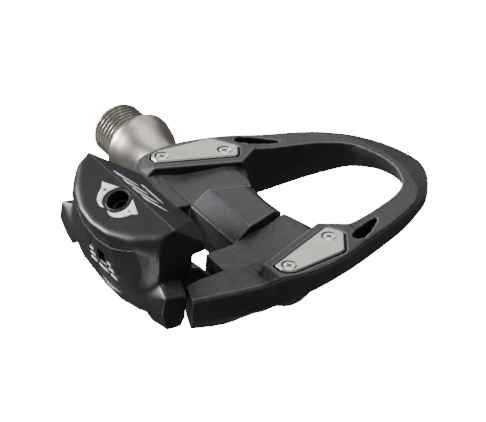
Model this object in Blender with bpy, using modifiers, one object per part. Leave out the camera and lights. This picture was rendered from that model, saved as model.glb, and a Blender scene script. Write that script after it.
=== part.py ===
"""Road clipless pedal, right-hand side, built as an assembly of separate parts.

Frame: origin on the spindle axis at the shoulder that seats on the crank arm,
+X towards the nose of the pedal, +Y out of the pedal towards the crank, +Z up
out of the cleat side. All sizes below are in millimetres; MM turns them into
metres when a mesh is made.
"""

import math

import bmesh
import bpy
from mathutils import Matrix, Vector

MM = 0.001

# Driving dimensions (millimetres) -------------------------------------------
CENTRE_Y = -53.0  # centre plane of the pedal, measured from the crank seat

THREAD_R = 7.14  # 9/16 inch thread, outer radius
THREAD_ROOT_R = 6.45
THREAD_PITCH = 1.27  # 20 threads per inch
THREAD_LENGTH = 11.7
HEX_ACROSS_FLATS = 8.0
HEX_DEPTH = 9.0
SHOULDER_R = 9.3
NECK_R = 6.0
SHAFT_R = 3.7
STUD_R = 3.0

BODY_FACE = 31.4  # inner face of the body, from the centre plane
BARREL_R = 8.7
BARREL_BORE_R = 7.4
BARREL_DOME_Y = -12.6
BARREL_END_Y = -20.2

BALL_R = 1.1
BALL_RING_R = 4.9
BALL_COUNT = 11
INNER_BALLS_Y = 20.0
OUTER_BALLS_Y = -9.0

DECK_Z = 10.2
SHELF_Z = 13.4
PLATE_TOP_Z = 13.7
PLATE_THICKNESS = 1.2
FIT_GAP = 0.3
PLATE_SIDE_GAP = 0.4
SCREW_HEAD_R = 1.6
SCREW_SHANK_R = 1.05
SCREW_LENGTH = 7.0
CROSS_HALF_LENGTH = 0.85
CROSS_HALF_WIDTH = 0.19
CROSS_DEPTH = 0.8
REAR_SCREW = (-9.5, 27.3)
FRONT_SCREW = (5.6, 22.1)

PIN_X = -37.6
PIN_Z = 8.0
PIN_R = 1.6
PIN_HALF_LENGTH = 22.0
LUG_R = 2.6
LUG_INNER_Y = 11.0
LUG_OUTER_Y = 13.8

ROOF_X = -35.7  # crease along the top of the binding
ROOF_Z = 27.0
ROOF_SLOPE = 0.5  # fall per millimetre, the same to the rear and to the front
BOLT_HOLE_R = 2.7
BOLT_X = -39.0
SPRING_R = 2.9
SPRING_WIRE_R = 0.6
SPRING_TURNS = 4
SPRING_PITCH = 1.5
SPRING_START_Y = 2.6

SEGMENTS = 32


# Small tools ----------------------------------------------------------------
def clear_scene():
    for obj in list(bpy.data.objects):
        bpy.data.objects.remove(obj, do_unlink=True)


def make_collection(name, hidden=False):
    collection = bpy.data.collections.new(name)
    bpy.context.scene.collection.children.link(collection)
    collection.hide_render = hidden
    return collection


def make_material(name, color, roughness, metallic=0.0):
    material = bpy.data.materials.new(name)
    material.use_nodes = True
    shader = material.node_tree.nodes["Principled BSDF"]
    shader.inputs["Base Color"].default_value = (*color, 1.0)
    shader.inputs["Roughness"].default_value = roughness
    shader.inputs["Metallic"].default_value = metallic
    return material


def place(x, y, z):
    """A point given from the centre plane, in metres from the origin."""
    return Vector((x, y + CENTRE_Y, z)) * MM


def add_object(name, mesh, collection):
    obj = bpy.data.objects.new(name, mesh)
    collection.objects.link(obj)
    return obj


def mesh_object(name, shape, collection):
    """Turns a bmesh into an object, with its faces turned outwards."""
    bmesh.ops.recalc_face_normals(shape, faces=shape.faces)
    mesh = bpy.data.meshes.new(name)
    shape.to_mesh(mesh)
    shape.free()
    return add_object(name, mesh, collection)


def as_cutter(obj):
    obj.hide_render = True
    obj.display_type = "WIRE"
    return obj


def hull(name, points, collection):
    """The convex solid through its corner points."""
    shape = bmesh.new()
    for point in points:
        shape.verts.new(place(*point))
    result = bmesh.ops.convex_hull(shape, input=shape.verts)
    inner = [item for item in result["geom_interior"] if isinstance(item, bmesh.types.BMVert)]
    bmesh.ops.delete(shape, geom=inner, context="VERTS")
    bmesh.ops.dissolve_limit(
        shape, angle_limit=math.radians(0.5), verts=shape.verts, edges=shape.edges
    )
    return mesh_object(name, shape, collection)


def loft(name, rings, collection):
    """A solid through rings of points, with flat ends."""
    shape = bmesh.new()
    made = [[shape.verts.new(place(*point)) for point in ring] for ring in rings]
    for ring, following in zip(made[:-1], made[1:]):
        for index, corner in enumerate(ring):
            after = (index + 1) % len(ring)
            shape.faces.new((corner, ring[after], following[after], following[index]))
    ends = [shape.faces.new(made[0][::-1]), shape.faces.new(made[-1])]
    sides = [face for face in shape.faces if face not in ends]
    bmesh.ops.triangulate(shape, faces=sides)
    return mesh_object(name, shape, collection)


def prism_z(name, outline, low, high, collection):
    """An upright prism over a plan outline."""
    rings = [[(x, y, z) for x, y in outline] for z in (low, high)]
    return loft(name, rings, collection)


def prism_y(name, outline, low, high, collection):
    """A prism across the pedal, over an outline of (x, z) points."""
    rings = [[(x, y, z) for x, z in outline] for y in (low, high)]
    return loft(name, rings, collection)


def turned(name, profile, collection, segments=SEGMENTS, phase=0.0):
    """A solid of revolution about the spindle axis, from (radius, y) points.

    The points run from the crank end to the far end. y counts from the seat.
    """
    mesh = bpy.data.meshes.new(name)
    points = [(radius * MM, 0.0, along * MM) for radius, along in profile]
    edges = [(index, index + 1) for index in range(len(points) - 1)]
    mesh.from_pydata(points, edges, [])
    obj = add_object(name, mesh, collection)
    obj.rotation_euler = (-math.pi / 2, phase, 0.0)
    screw = obj.modifiers.new("turn", "SCREW")
    screw.axis = "Z"
    screw.steps = segments
    screw.render_steps = segments
    screw.use_merge_vertices = True
    screw.merge_threshold = 0.00001
    screw.use_smooth_shade = True
    return obj


def closed_turned(name, profile, collection, segments=SEGMENTS):
    """A turned ring: the profile closes on itself."""
    return turned(name, [*profile, profile[0]], collection, segments)


def upright(name, profile, at, collection, segments=24):
    """A solid of revolution about an upright axis, from (radius, z) points, top first."""
    obj = turned(name, profile, collection, segments)
    obj.rotation_euler = (0.0, 0.0, 0.0)
    obj.location = place(at[0], at[1], 0.0)
    return obj


def cylinder_y(name, radius, x, z, low, high, collection, segments=SEGMENTS):
    shape = bmesh.new()
    turn = Matrix.Rotation(math.pi / 2, 4, "X")
    middle = Matrix.Translation(place(x, (low + high) / 2, z))
    bmesh.ops.create_cone(
        shape,
        cap_ends=True,
        segments=segments,
        radius1=radius * MM,
        radius2=radius * MM,
        depth=(high - low) * MM,
        matrix=middle @ turn,
    )
    return mesh_object(name, shape, collection)


def combine(target, other, operation):
    modifier = target.modifiers.new(other.name, "BOOLEAN")
    modifier.operation = operation
    modifier.solver = "EXACT"
    modifier.object = other
    as_cutter(other)


def cut(target, *others):
    for other in others:
        combine(target, other, "DIFFERENCE")


def join(target, *others):
    for other in others:
        combine(target, other, "UNION")


def set_origin(obj, spot):
    """Moves the origin of an unturned piece onto its joint axis, and leaves its shape in place."""
    origin = place(*spot)
    obj.data.transform(Matrix.Translation(-origin))
    obj.location = origin


def finish(obj, material, smooth_angle=30.0):
    obj.data.materials.append(material)
    if obj.data.polygons:
        obj.data.shade_smooth()
        obj.data.set_sharp_from_angle(angle=math.radians(smooth_angle))
    return obj


def smooth_rail(points, samples):
    """Points along a Catmull-Rom curve through the given points."""
    padded = [points[0], *points, points[-1]]
    made = []
    for a, b, c, d in zip(padded, padded[1:], padded[2:], padded[3:]):
        a, b, c, d = Vector(a), Vector(b), Vector(c), Vector(d)
        for step in range(samples):
            t = step / samples
            point = b + 0.5 * t * (
                (c - a)
                + t * ((2 * a - 5 * b + 4 * c - d) + t * (3 * b - 3 * c + d - a))
            )
            made.append(tuple(point))
    made.append(tuple(points[-1]))
    return made


def mirrored(points):
    return [(x, -y, *rest) for x, y, *rest in points]


# Spindle and bearings ---------------------------------------------------------
def thread_profile():
    """The crank thread as rings of crests, from its free end to the relief groove."""
    points = [(0.0, THREAD_LENGTH), (THREAD_ROOT_R - 0.3, THREAD_LENGTH)]
    crests = int((THREAD_LENGTH - 1.6) / THREAD_PITCH)
    for index in range(crests):
        top = THREAD_LENGTH - 0.55 - index * THREAD_PITCH
        points.append((THREAD_ROOT_R, top))
        points.append((THREAD_R, top - 0.45 * THREAD_PITCH))
        points.append((THREAD_R, top - 0.60 * THREAD_PITCH))
    points.append((THREAD_ROOT_R - 0.1, points[-1][1] - 0.4))
    points.append((THREAD_ROOT_R - 0.1, 0.0))
    return points


def make_spindle(parts, cutters, material):
    profile = thread_profile() + [
        (SHOULDER_R - 0.2, 0.0),
        (SHOULDER_R, -0.2),
        (SHOULDER_R, -1.3),
        (9.1, -1.9),
        (8.85, -3.3),
        (8.4, -4.9),
        (7.75, -6.5),
        (6.95, -8.4),
        (6.35, -10.4),
        (6.05, -12.6),
        (NECK_R, -15.0),
        (NECK_R, -30.4),
        (4.4, -31.0),
        (SHAFT_R, -32.0),
        (SHAFT_R, -58.0),
        (STUD_R, -58.6),
        (STUD_R, -70.6),
        (STUD_R - 0.5, -71.1),
        (0.0, -71.1),
    ]
    spindle = turned("spindle", profile, parts, 40)
    socket = bmesh.new()
    bmesh.ops.create_cone(
        socket,
        cap_ends=True,
        segments=6,
        radius1=HEX_ACROSS_FLATS / math.sqrt(3.0) * MM,
        radius2=HEX_ACROSS_FLATS / math.sqrt(3.0) * MM,
        depth=2 * HEX_DEPTH * MM,
        matrix=Matrix.Translation((0.0, THREAD_LENGTH * MM, 0.0))
        @ Matrix.Rotation(math.pi / 2, 4, "X"),
    )
    cut(spindle, mesh_object("hex_socket_cutter", socket, cutters))
    return finish(spindle, material)


def from_seat(y):
    """Turns a distance from the centre plane into one from the crank seat."""
    return y + CENTRE_Y


def make_bearing_parts(parts, materials):
    """The axle unit inside the barrel, from the crank side outwards."""
    face = from_seat(BODY_FACE)
    sleeve_end = face - 8.0
    tube_start = sleeve_end - FIT_GAP
    tube_end = from_seat(OUTER_BALLS_Y) - 4.0
    sleeve = closed_turned(
        "axle_sleeve",
        [
            (8.6, face + 3.6),
            (8.6, face + FIT_GAP),
            (BARREL_BORE_R - FIT_GAP, face + FIT_GAP),
            (BARREL_BORE_R - FIT_GAP, sleeve_end),
            (NECK_R + 0.25, sleeve_end),
            (NECK_R + 0.25, face + 1.2),
            (7.3, face + 1.2),
            (7.3, face + 3.6),
        ],
        parts,
    )
    finish(sleeve, materials["black_nylon"])
    seal = closed_turned(
        "dust_seal",
        [
            (7.0, face + 3.3),
            (7.0, face + 1.5),
            (NECK_R + 0.12, face + 1.5),
            (NECK_R + 0.12, face + 2.2),
            (NECK_R + 0.5, face + 3.3),
        ],
        parts,
    )
    finish(seal, materials["rubber"])
    tube = closed_turned(
        "bearing_tube",
        [
            (BARREL_BORE_R - FIT_GAP, tube_start),
            (BARREL_BORE_R - FIT_GAP, tube_end),
            (6.5, tube_end),
            (6.5, tube_start),
        ],
        parts,
    )
    finish(tube, materials["steel"])
    for name, middle, facing in (
        ("inner_bearing_cup", INNER_BALLS_Y, 1),
        ("outer_bearing_cup", OUTER_BALLS_Y, -1),
    ):
        centre = from_seat(middle)
        corners = [
            (6.2, -1.4),
            (6.2, 2.4),
            (4.9, 2.4),
            (4.9, 1.6),
            (5.75, 1.0),
            (6.05, 0.0),
            (6.05, -1.4),
        ]
        points = [(radius, centre - facing * along) for radius, along in corners]
        if facing < 0:
            points = points[::-1]
        finish(closed_turned(name, points, parts), materials["bright_steel"])


def make_ball_ring(name, middle, parts, cutters, material):
    """A caged set of balls. Its origin is on the spindle axis."""
    centre = from_seat(middle)
    ring = closed_turned(
        name,
        [
            (BALL_RING_R + 0.32, centre + 0.38),
            (BALL_RING_R + 0.32, centre - 0.38),
            (BALL_RING_R - 0.32, centre - 0.38),
            (BALL_RING_R - 0.32, centre + 0.38),
        ],
        parts,
        2 * BALL_COUNT,
    )
    for index in range(BALL_COUNT):
        angle = 2 * math.pi * index / BALL_COUNT
        shape = bmesh.new()
        spot = Vector((math.cos(angle), 0.0, math.sin(angle))) * BALL_RING_R * MM
        spot.y = centre * MM
        bmesh.ops.create_uvsphere(
            shape,
            u_segments=8,
            v_segments=6,
            radius=BALL_R * MM,
            matrix=Matrix.Translation(spot) @ Matrix.Rotation(angle, 4, "Y"),
        )
        join(ring, mesh_object(f"{name}_ball_{index}", shape, cutters))
    return finish(ring, material)


def make_nuts(parts, cutters, materials):
    """The adjusting cone and its lock nut on the outer end of the spindle."""
    centre = from_seat(OUTER_BALLS_Y)
    cone = closed_turned(
        "bearing_cone",
        [
            (3.65, centre + 1.9),
            (3.65, centre - 0.2),
            (4.35, centre - 1.4),
            (4.35, centre - 3.2),
            (STUD_R + 0.15, centre - 3.2),
            (STUD_R + 0.15, centre + 1.9),
        ],
        parts,
    )
    finish(cone, materials["bright_steel"])
    nut_start = OUTER_BALLS_Y - 3.5
    nut = cylinder_y("cone_lock_nut", 5.2, 0.0, 0.0, nut_start - 2.6, nut_start, parts, 6)
    bore = cylinder_y("nut_thread", STUD_R + 0.15, 0.0, 0.0, nut_start - 6.0, nut_start + 2.0, cutters)
    cut(nut, bore)
    finish(nut, materials["steel"])


# Pedal body -------------------------------------------------------------------
# Each station is a cross-section of the frame on the crank side, running from
# the rear end of the arm to the tip of the nose. Its corners go round the
# section: inner top edge, outer top crease, shoulder, lower outer edge, bottom
# outer edge, bottom inner edge, inner facet line.
FRAME_STATIONS = (
    ((-31.6, 18.2, 10.0), (-34.1, 24.3, 10.8), (-34.2, 25.0, 10.2), (-34.6, 25.3, 5.2),
     (-33.9, 24.2, 2.4), (-31.8, 18.8, 2.6), (-31.6, 18.2, 6.2)),
    ((-26.0, 17.6, 10.1), (-26.0, 26.4, 11.2), (-26.0, 27.2, 10.6), (-26.0, 27.9, 4.8),
     (-26.0, 25.8, 1.7), (-26.0, 18.5, 1.6), (-26.0, 17.6, 5.5)),
    ((-18.0, 17.2, 9.9), (-17.4, 28.1, 11.5), (-17.4, 28.9, 10.9), (-17.5, 29.3, 5.2),
     (-17.5, 25.2, 1.3), (-17.5, 18.0, 0.2), (-18.0, 17.2, 5.0)),
    ((-12.5, 17.0, 9.8), (-13.3, 29.9, 13.3), (-13.3, 30.7, 12.6), (-13.0, 30.2, 5.8),
     (-13.0, 24.8, 0.6), (-13.0, 17.0, -0.9), (-12.5, 17.0, 5.0)),
    ((-4.0, 16.5, 9.8), (-4.0, 31.2, 13.35), (-4.0, 32.0, 12.6), (-4.0, 30.6, 6.6),
     (-4.0, 24.0, 1.4), (-4.0, 16.5, -1.4), (-4.0, 16.5, 5.0)),
    ((6.0, 17.5, 11.6), (5.2, 29.6, 13.35), (5.3, 30.4, 12.6), (4.8, 29.4, 7.2),
     (5.5, 23.8, 3.2), (7.0, 18.0, -1.1), (6.5, 17.6, 5.2)),
    ((12.0, 19.4, 13.1), (12.0, 27.3, 13.3), (12.2, 28.1, 12.6), (12.0, 27.4, 7.2),
     (12.5, 23.6, 3.6), (11.8, 19.4, -0.7), (11.8, 18.7, 5.4)),
    ((17.5, 18.4, 12.7), (18.3, 25.1, 12.8), (18.5, 25.8, 12.2), (18.3, 25.3, 7.2),
     (18.4, 22.2, 3.8), (17.2, 18.9, -0.2), (17.2, 17.7, 5.3)),
    ((26.5, 15.9, 12.6), (28.2, 21.5, 12.6), (28.6, 22.1, 12.1), (28.4, 21.8, 7.4),
     (27.4, 19.4, 4.6), (26.4, 16.6, 1.8), (26.0, 15.3, 7.0)),
    ((32.5, 13.5, 12.5), (34.4, 18.2, 12.5), (35.2, 18.9, 11.8), (35.2, 18.7, 8.0),
     (33.9, 16.7, 5.6), (32.8, 14.2, 3.4), (32.0, 13.0, 9.0)),
    ((36.6, 10.4, 12.4), (38.6, 13.8, 12.3), (40.4, 15.7, 11.3), (40.6, 15.4, 8.4),
     (39.2, 13.2, 6.4), (37.8, 11.0, 5.0), (36.8, 10.2, 10.2)),
    ((39.2, 5.8, 12.0), (41.0, 7.6, 12.0), (45.6, 9.4, 10.8), (46.0, 9.2, 8.0),
     (43.8, 7.8, 6.2), (41.8, 6.2, 5.6), (39.8, 5.6, 10.0)),
    ((40.4, 2.2, 11.7), (42.2, 3.0, 11.7), (48.9, 3.4, 9.9), (49.2, 3.4, 7.4),
     (46.2, 3.0, 6.0), (43.3, 2.4, 5.6), (41.2, 2.2, 9.6)),
    ((40.6, 0.0, 11.6), (42.4, 0.0, 11.6), (49.9, 0.0, 9.4), (50.2, 0.0, 7.1),
     (46.8, 0.0, 5.9), (43.6, 0.0, 5.6), (41.5, 0.0, 9.4)),
)  # fmt: skip
FRAME_SAMPLES = 3

SHELF_OUTLINE = (
    (-13.9, 23.5),
    (-13.6, 29.7),
    (-9.6, 30.5),
    (-4.0, 30.7),
    (5.2, 29.1),
    (12.0, 26.7),
    (13.2, 19.6),
    (9.9, 19.1),
    (8.2, 17.2),
    (6.8, 15.8),
)
SHELF_FOOT = ((-17.0, 28.4, 11.0), (-16.4, 24.2, 10.4), (-17.0, 28.4, 7.0), (-16.4, 24.2, 7.0))
PLATE_OUTLINE = (
    (-12.3, 25.6),
    (-12.2, 27.9),
    (-11.2, 29.3),
    (-9.4, 29.9),
    (-7.4, 29.8),
    (4.6, 28.8),
    (5.6, 28.4),
    (9.4, 22.9),
    (9.5, 21.8),
    (7.6, 18.9),
    (6.8, 18.6),
)
SLOT_OUTLINE = (
    (10.6, 25.0),
    (11.3, 26.1),
    (13.0, 26.1),
    (16.2, 24.5),
    (20.6, 21.2),
    (21.3, 20.3),
    (20.8, 19.9),
    (18.6, 20.3),
    (13.6, 22.2),
    (11.2, 23.7),
)
DECK_PROFILE = (
    (-20.6, 4.5),
    (-20.6, 9.9),
    (-12.0, DECK_Z),
    (2.0, 12.1),
    (4.6, 11.9),
    (7.6, 10.6),
    (9.0, 8.0),
    (9.0, 4.5),
)
OPENING_REAR = ((2.9, 0.0), (3.4, 6.5), (4.9, 10.5), (6.6, 13.4), (8.0, 15.8), (9.4, 19.0))
PAD_CORNERS = (
    (-12.3, 9.5, 10.1),
    (-7.9, 9.3, SHELF_Z),
    (0.6, 6.7, SHELF_Z),
    (2.0, 6.2, 12.8),
    (2.7, 6.0, 12.0),
    (2.7, 6.0, 8.5),
    (-12.3, 9.5, 8.5),
)
SLIT_ENDS = ((-8.4, 9.75), (2.6, 6.4))
SLIT_HALF_WIDTH = 0.4


def frame_rings():
    rails = [smooth_rail(rail, FRAME_SAMPLES) for rail in zip(*FRAME_STATIONS)]
    half = [list(ring) for ring in zip(*rails)]
    return half + [mirrored(ring) for ring in half[-2::-1]]


def both_sides(make):
    """Runs make(sign, suffix) for the crank side and the outer side."""
    return [make(1, "inner"), make(-1, "outer")]


def side_points(points, sign):
    return [(x, sign * y, *rest) for x, y, *rest in points]


def make_body(parts, cutters, material):
    body = loft("pedal_body", frame_rings(), parts)
    deck = prism_y("deck", DECK_PROFILE, -23.5, 23.5, cutters)
    opening = [*side_points(OPENING_REAR[::-1], -1), *OPENING_REAR[1:], (30.0, 19.0), (30.0, -19.0)]
    cut(deck, prism_z("deck_front", opening, 2.0, 16.0, cutters))
    join(body, deck)
    both_sides(lambda sign, side: join(body, make_shelf(sign, side, cutters)))
    pad_points = [*PAD_CORNERS, *mirrored(PAD_CORNERS)]
    join(body, hull("pad", pad_points, cutters))
    join(body, make_barrel(cutters))
    both_sides(lambda sign, side: join(body, make_lug(sign, side, cutters)))
    cut(body, make_barrel_bore(cutters))
    cut(body, prism_z("binding_pocket", ((-30.0, -9.6), (-12.6, -9.6), (-12.6, 9.6), (-30.0, 9.6)),
                      -20.0, 20.0, cutters))
    both_sides(lambda sign, side: cut(body, *side_cutters(sign, side, cutters)))
    cut(body, cylinder_y("pin_bore", PIN_R + 0.05, PIN_X, PIN_Z, -18.0, 18.0, cutters, 20))
    return finish(body, material)


def make_shelf(sign, side, cutters):
    top = [(x, y, SHELF_Z) for x, y in SHELF_OUTLINE]
    low = [(x, y, 7.0) for x, y in SHELF_OUTLINE]
    return hull(f"shelf_{side}", side_points([*top, *low, *SHELF_FOOT], sign), cutters)


def make_barrel(cutters):
    profile = [
        (0.0, from_seat(BODY_FACE)),
        (BARREL_R - 0.5, from_seat(BODY_FACE)),
        (BARREL_R, from_seat(BODY_FACE) - 0.5),
        (BARREL_R, from_seat(BARREL_DOME_Y)),
        (BARREL_R - 0.4, from_seat(BARREL_DOME_Y - 2.8)),
        (BARREL_R - 1.8, from_seat(BARREL_DOME_Y - 5.3)),
        (BARREL_R - 4.4, from_seat(BARREL_END_Y + 0.5)),
        (0.0, from_seat(BARREL_END_Y)),
    ]
    return turned("barrel", profile, cutters)


def make_barrel_bore(cutters):
    profile = [
        (0.0, from_seat(BODY_FACE) + 2.0),
        (BARREL_BORE_R, from_seat(BODY_FACE) + 2.0),
        (BARREL_BORE_R, from_seat(-15.4)),
        (5.6, from_seat(-18.6)),
        (0.0, from_seat(-18.6)),
    ]
    return turned("barrel_bore", profile, cutters)


def make_lug(sign, side, cutters):
    """A lug that reaches back from the arm and carries the hinge pin."""
    outline = [(-19.0, 5.6), (-20.8, 5.8), (-25.2, 10.3), (-29.0, 11.3)]
    for step in range(9):
        angle = math.radians(80 + step * 25)
        outline.append((PIN_X + LUG_R * math.cos(angle), PIN_Z + LUG_R * math.sin(angle)))
    outline += [(-30.0, 2.6), (-19.0, 2.0)]
    low, high = sorted((sign * LUG_INNER_Y, sign * LUG_OUTER_Y))
    return prism_y(f"lug_{side}", outline, low, high, cutters)


def side_cutters(sign, side, cutters):
    """The plate recess, screw holes, slot and pad slit of one side."""
    recess = prism_z(
        f"plate_recess_{side}",
        side_points(grown(PLATE_OUTLINE, PLATE_SIDE_GAP), sign),
        PLATE_TOP_Z - PLATE_THICKNESS - FIT_GAP,
        SHELF_Z + 3.0,
        cutters,
    )
    slot = prism_z(f"slot_{side}", side_points(SLOT_OUTLINE, sign), 5.5, 20.0, cutters)
    (rear_x, rear_y), (front_x, front_y) = SLIT_ENDS
    slit = prism_z(
        f"pad_slit_{side}",
        side_points(
            [
                (rear_x, rear_y - SLIT_HALF_WIDTH),
                (front_x + 1.0, front_y - SLIT_HALF_WIDTH),
                (front_x + 1.0, front_y + SLIT_HALF_WIDTH),
                (rear_x, rear_y + SLIT_HALF_WIDTH),
            ],
            sign,
        ),
        10.6,
        20.0,
        cutters,
    )
    holes = []
    for label, (x, y) in (("rear", REAR_SCREW), ("front", FRONT_SCREW)):
        bottom = PLATE_TOP_Z - SCREW_LENGTH - 0.6
        profile = [
            (0.0, SHELF_Z + 2.0),
            (SCREW_SHANK_R + FIT_GAP, SHELF_Z + 2.0),
            (SCREW_SHANK_R + FIT_GAP, bottom),
            (0.0, bottom),
        ]
        holes.append(upright(f"screw_hole_{label}_{side}", profile, (x, sign * y), cutters, 16))
    return [recess, slot, slit, *holes]


def grown(outline, distance):
    """A convex outline moved outwards by a distance."""
    count = len(outline)
    centre = Vector((0.0, 0.0))
    for point in outline:
        centre += Vector(point) / count
    moved = []
    for index in range(count):
        before = Vector(outline[index - 1])
        here = Vector(outline[index])
        after = Vector(outline[(index + 1) % count])
        normals = []
        for start, end in ((before, here), (here, after)):
            edge = (end - start).normalized()
            normal = Vector((edge.y, -edge.x))
            if normal.dot((start + end) / 2 - centre) < 0:
                normal = -normal
            normals.append(normal)
        mean = (normals[0] + normals[1]).normalized()
        moved.append(tuple(here + mean * distance / mean.dot(normals[0])))
    return moved


def make_plates(parts, cutters, materials):
    for sign, side in ((1, "inner"), (-1, "outer")):
        low = PLATE_TOP_Z - PLATE_THICKNESS
        rings = [
            [(x, y, low) for x, y in PLATE_OUTLINE],
            [(x, y, PLATE_TOP_Z - 0.3) for x, y in PLATE_OUTLINE],
            [(x, y, PLATE_TOP_Z) for x, y in grown(PLATE_OUTLINE, -0.3)],
        ]
        plate = loft(f"cleat_plate_{side}", [side_points(ring, sign) for ring in rings], parts)
        for label, (x, y) in (("rear", REAR_SCREW), ("front", FRONT_SCREW)):
            spot = (x, sign * y)
            sink = [
                (0.0, PLATE_TOP_Z + 1.0),
                (SCREW_HEAD_R + 0.3, PLATE_TOP_Z + 1.0),
                (SCREW_HEAD_R + 0.3, PLATE_TOP_Z - 0.25),
                (SCREW_SHANK_R + 0.3, PLATE_TOP_Z - 1.3),
                (SCREW_SHANK_R + 0.3, low - 1.0),
                (0.0, low - 1.0),
            ]
            cut(plate, upright(f"countersink_{label}_{side}", sink, spot, cutters, 24))
            make_screw(f"plate_screw_{label}_{side}", spot, parts, cutters, materials["screw"])
        finish(plate, materials["plate"])


def make_screw(name, spot, parts, cutters, material):
    top = PLATE_TOP_Z - 0.1
    profile = [
        (0.0, top),
        (SCREW_HEAD_R - 0.25, top),
        (SCREW_HEAD_R, top - 0.15),
        (SCREW_HEAD_R, top - 0.3),
        (SCREW_SHANK_R, top - 1.35),
        (SCREW_SHANK_R, top - SCREW_LENGTH + 0.6),
        (SCREW_SHANK_R - 0.5, top - SCREW_LENGTH),
        (0.0, top - SCREW_LENGTH),
    ]
    screw = upright(name, profile, spot, parts, 20)
    x, y = spot
    along, across = CROSS_HALF_LENGTH, CROSS_HALF_WIDTH
    for index, (half_x, half_y) in enumerate(((along, across), (across, along))):
        corners = [(x + a * half_x, y + b * half_y) for a, b in ((-1, -1), (1, -1), (1, 1), (-1, 1))]
        cut(screw, prism_z(f"{name}_cross_{index}", corners, top - CROSS_DEPTH, top + 1.0, cutters))
    finish(screw, material)


# Binding ------------------------------------------------------------------------
# Plan outlines of the binding at several heights, on the crank side only: rear
# middle, along the rear face to the side, then forwards along the side.
BINDING_SECTIONS = (
    (-1.0, ((-39.3, 0.0), (-39.3, 6.0), (-39.0, 12.0), (-38.2, 16.2), (-37.2, 19.0))),
    (2.5, ((-40.5, 0.0), (-40.4, 6.0), (-40.2, 12.6), (-39.2, 16.4), (-38.0, 19.0))),
    (7.0, ((-41.9, 0.0), (-41.8, 6.0), (-41.5, 13.2), (-40.3, 16.6), (-38.8, 19.0))),
    (11.3, ((-43.3, 0.0), (-43.2, 6.0), (-42.3, 13.8), (-40.9, 16.8), (-39.1, 19.0))),
    (11.9, ((-43.4, 0.0), (-43.3, 6.0), (-42.3, 14.0), (-40.9, 16.8), (-39.1, 19.0))),
    (15.5, ((-44.1, 0.0), (-43.8, 6.0), (-41.9, 15.2), (-40.8, 17.1), (-39.3, 19.0))),
    (18.5, ((-45.3, 0.0), (-44.7, 6.0), (-42.2, 14.4), (-40.7, 17.2), (-39.3, 19.0))),
    (18.8, ((-45.4, 0.0), (-44.8, 6.0), (-42.4, 14.0), (-40.7, 17.2), (-39.3, 19.0))),
    (20.3, ((-46.3, 0.0), (-45.7, 6.0), (-43.2, 13.4), (-40.8, 17.1), (-39.2, 19.0))),
    (21.6, ((-46.6, 0.0), (-45.9, 6.0), (-43.4, 13.2), (-40.7, 17.1), (-39.2, 19.0))),
    (24.0, ((-45.6, 0.0), (-44.9, 6.0), (-42.4, 13.2), (-40.0, 17.1), (-38.8, 19.0))),
    (30.0, ((-44.0, 0.0), (-43.3, 6.0), (-41.0, 13.2), (-38.6, 17.1), (-37.6, 19.0))),
)
# Where the front of the binding stands at those heights: its middle, then its sides.
BINDING_FRONT = (
    (-35.2, -35.2),
    (-35.2, -35.2),
    (-35.2, -35.2),
    (-35.2, -35.2),
    (-31.2, -31.2),
    (-30.6, -30.6),
    (-25.9, -30.6),
    (-25.8, -27.4),
    (-25.6, -27.4),
    (-25.6, -27.8),
    (-25.6, -28.2),
    (-25.6, -28.2),
)
EAR_CORNERS = (
    (-39.2, 18.9, 14.1),
    (-38.0, 18.0, 14.1),
    (-33.4, 18.0, 13.3),
    (-40.3, 23.3, 12.3),
    (-34.7, 23.4, 11.3),
    (-40.9, 23.0, 8.3),
    (-34.9, 23.4, 5.6),
    (-39.2, 22.8, 3.1),
    (-35.8, 23.1, 3.1),
    (-42.0, 12.8, 8.3),
    (-41.2, 16.8, 5.2),
    (-40.2, 18.0, 3.1),
    (-35.8, 18.0, 3.1),
    (-33.4, 18.0, 6.8),
)
CHEEK_CORNERS = (
    (-39.7, 18.8, 21.4),
    (-39.2, 19.0, 14.0),
    (-42.0, 12.8, 8.3),
    (-42.2, 12.8, 11.0),
    (-38.8, 16.6, 18.0),
    (-40.0, 13.0, 8.0),
    (-38.6, 18.0, 9.0),
)


def roof_z(x):
    return ROOF_Z - ROOF_SLOPE * abs(x - ROOF_X)


def binding_rings():
    rings = []
    for (z, rear), (front_x, corner_x) in zip(BINDING_SECTIONS, BINDING_FRONT):
        half = [(x, y, z) for x, y in (*rear, (corner_x, 19.0), (front_x, 15.0))]
        rings.append(half + [(x, -y, height) for x, y, height in half[:0:-1]])
    return rings


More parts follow.
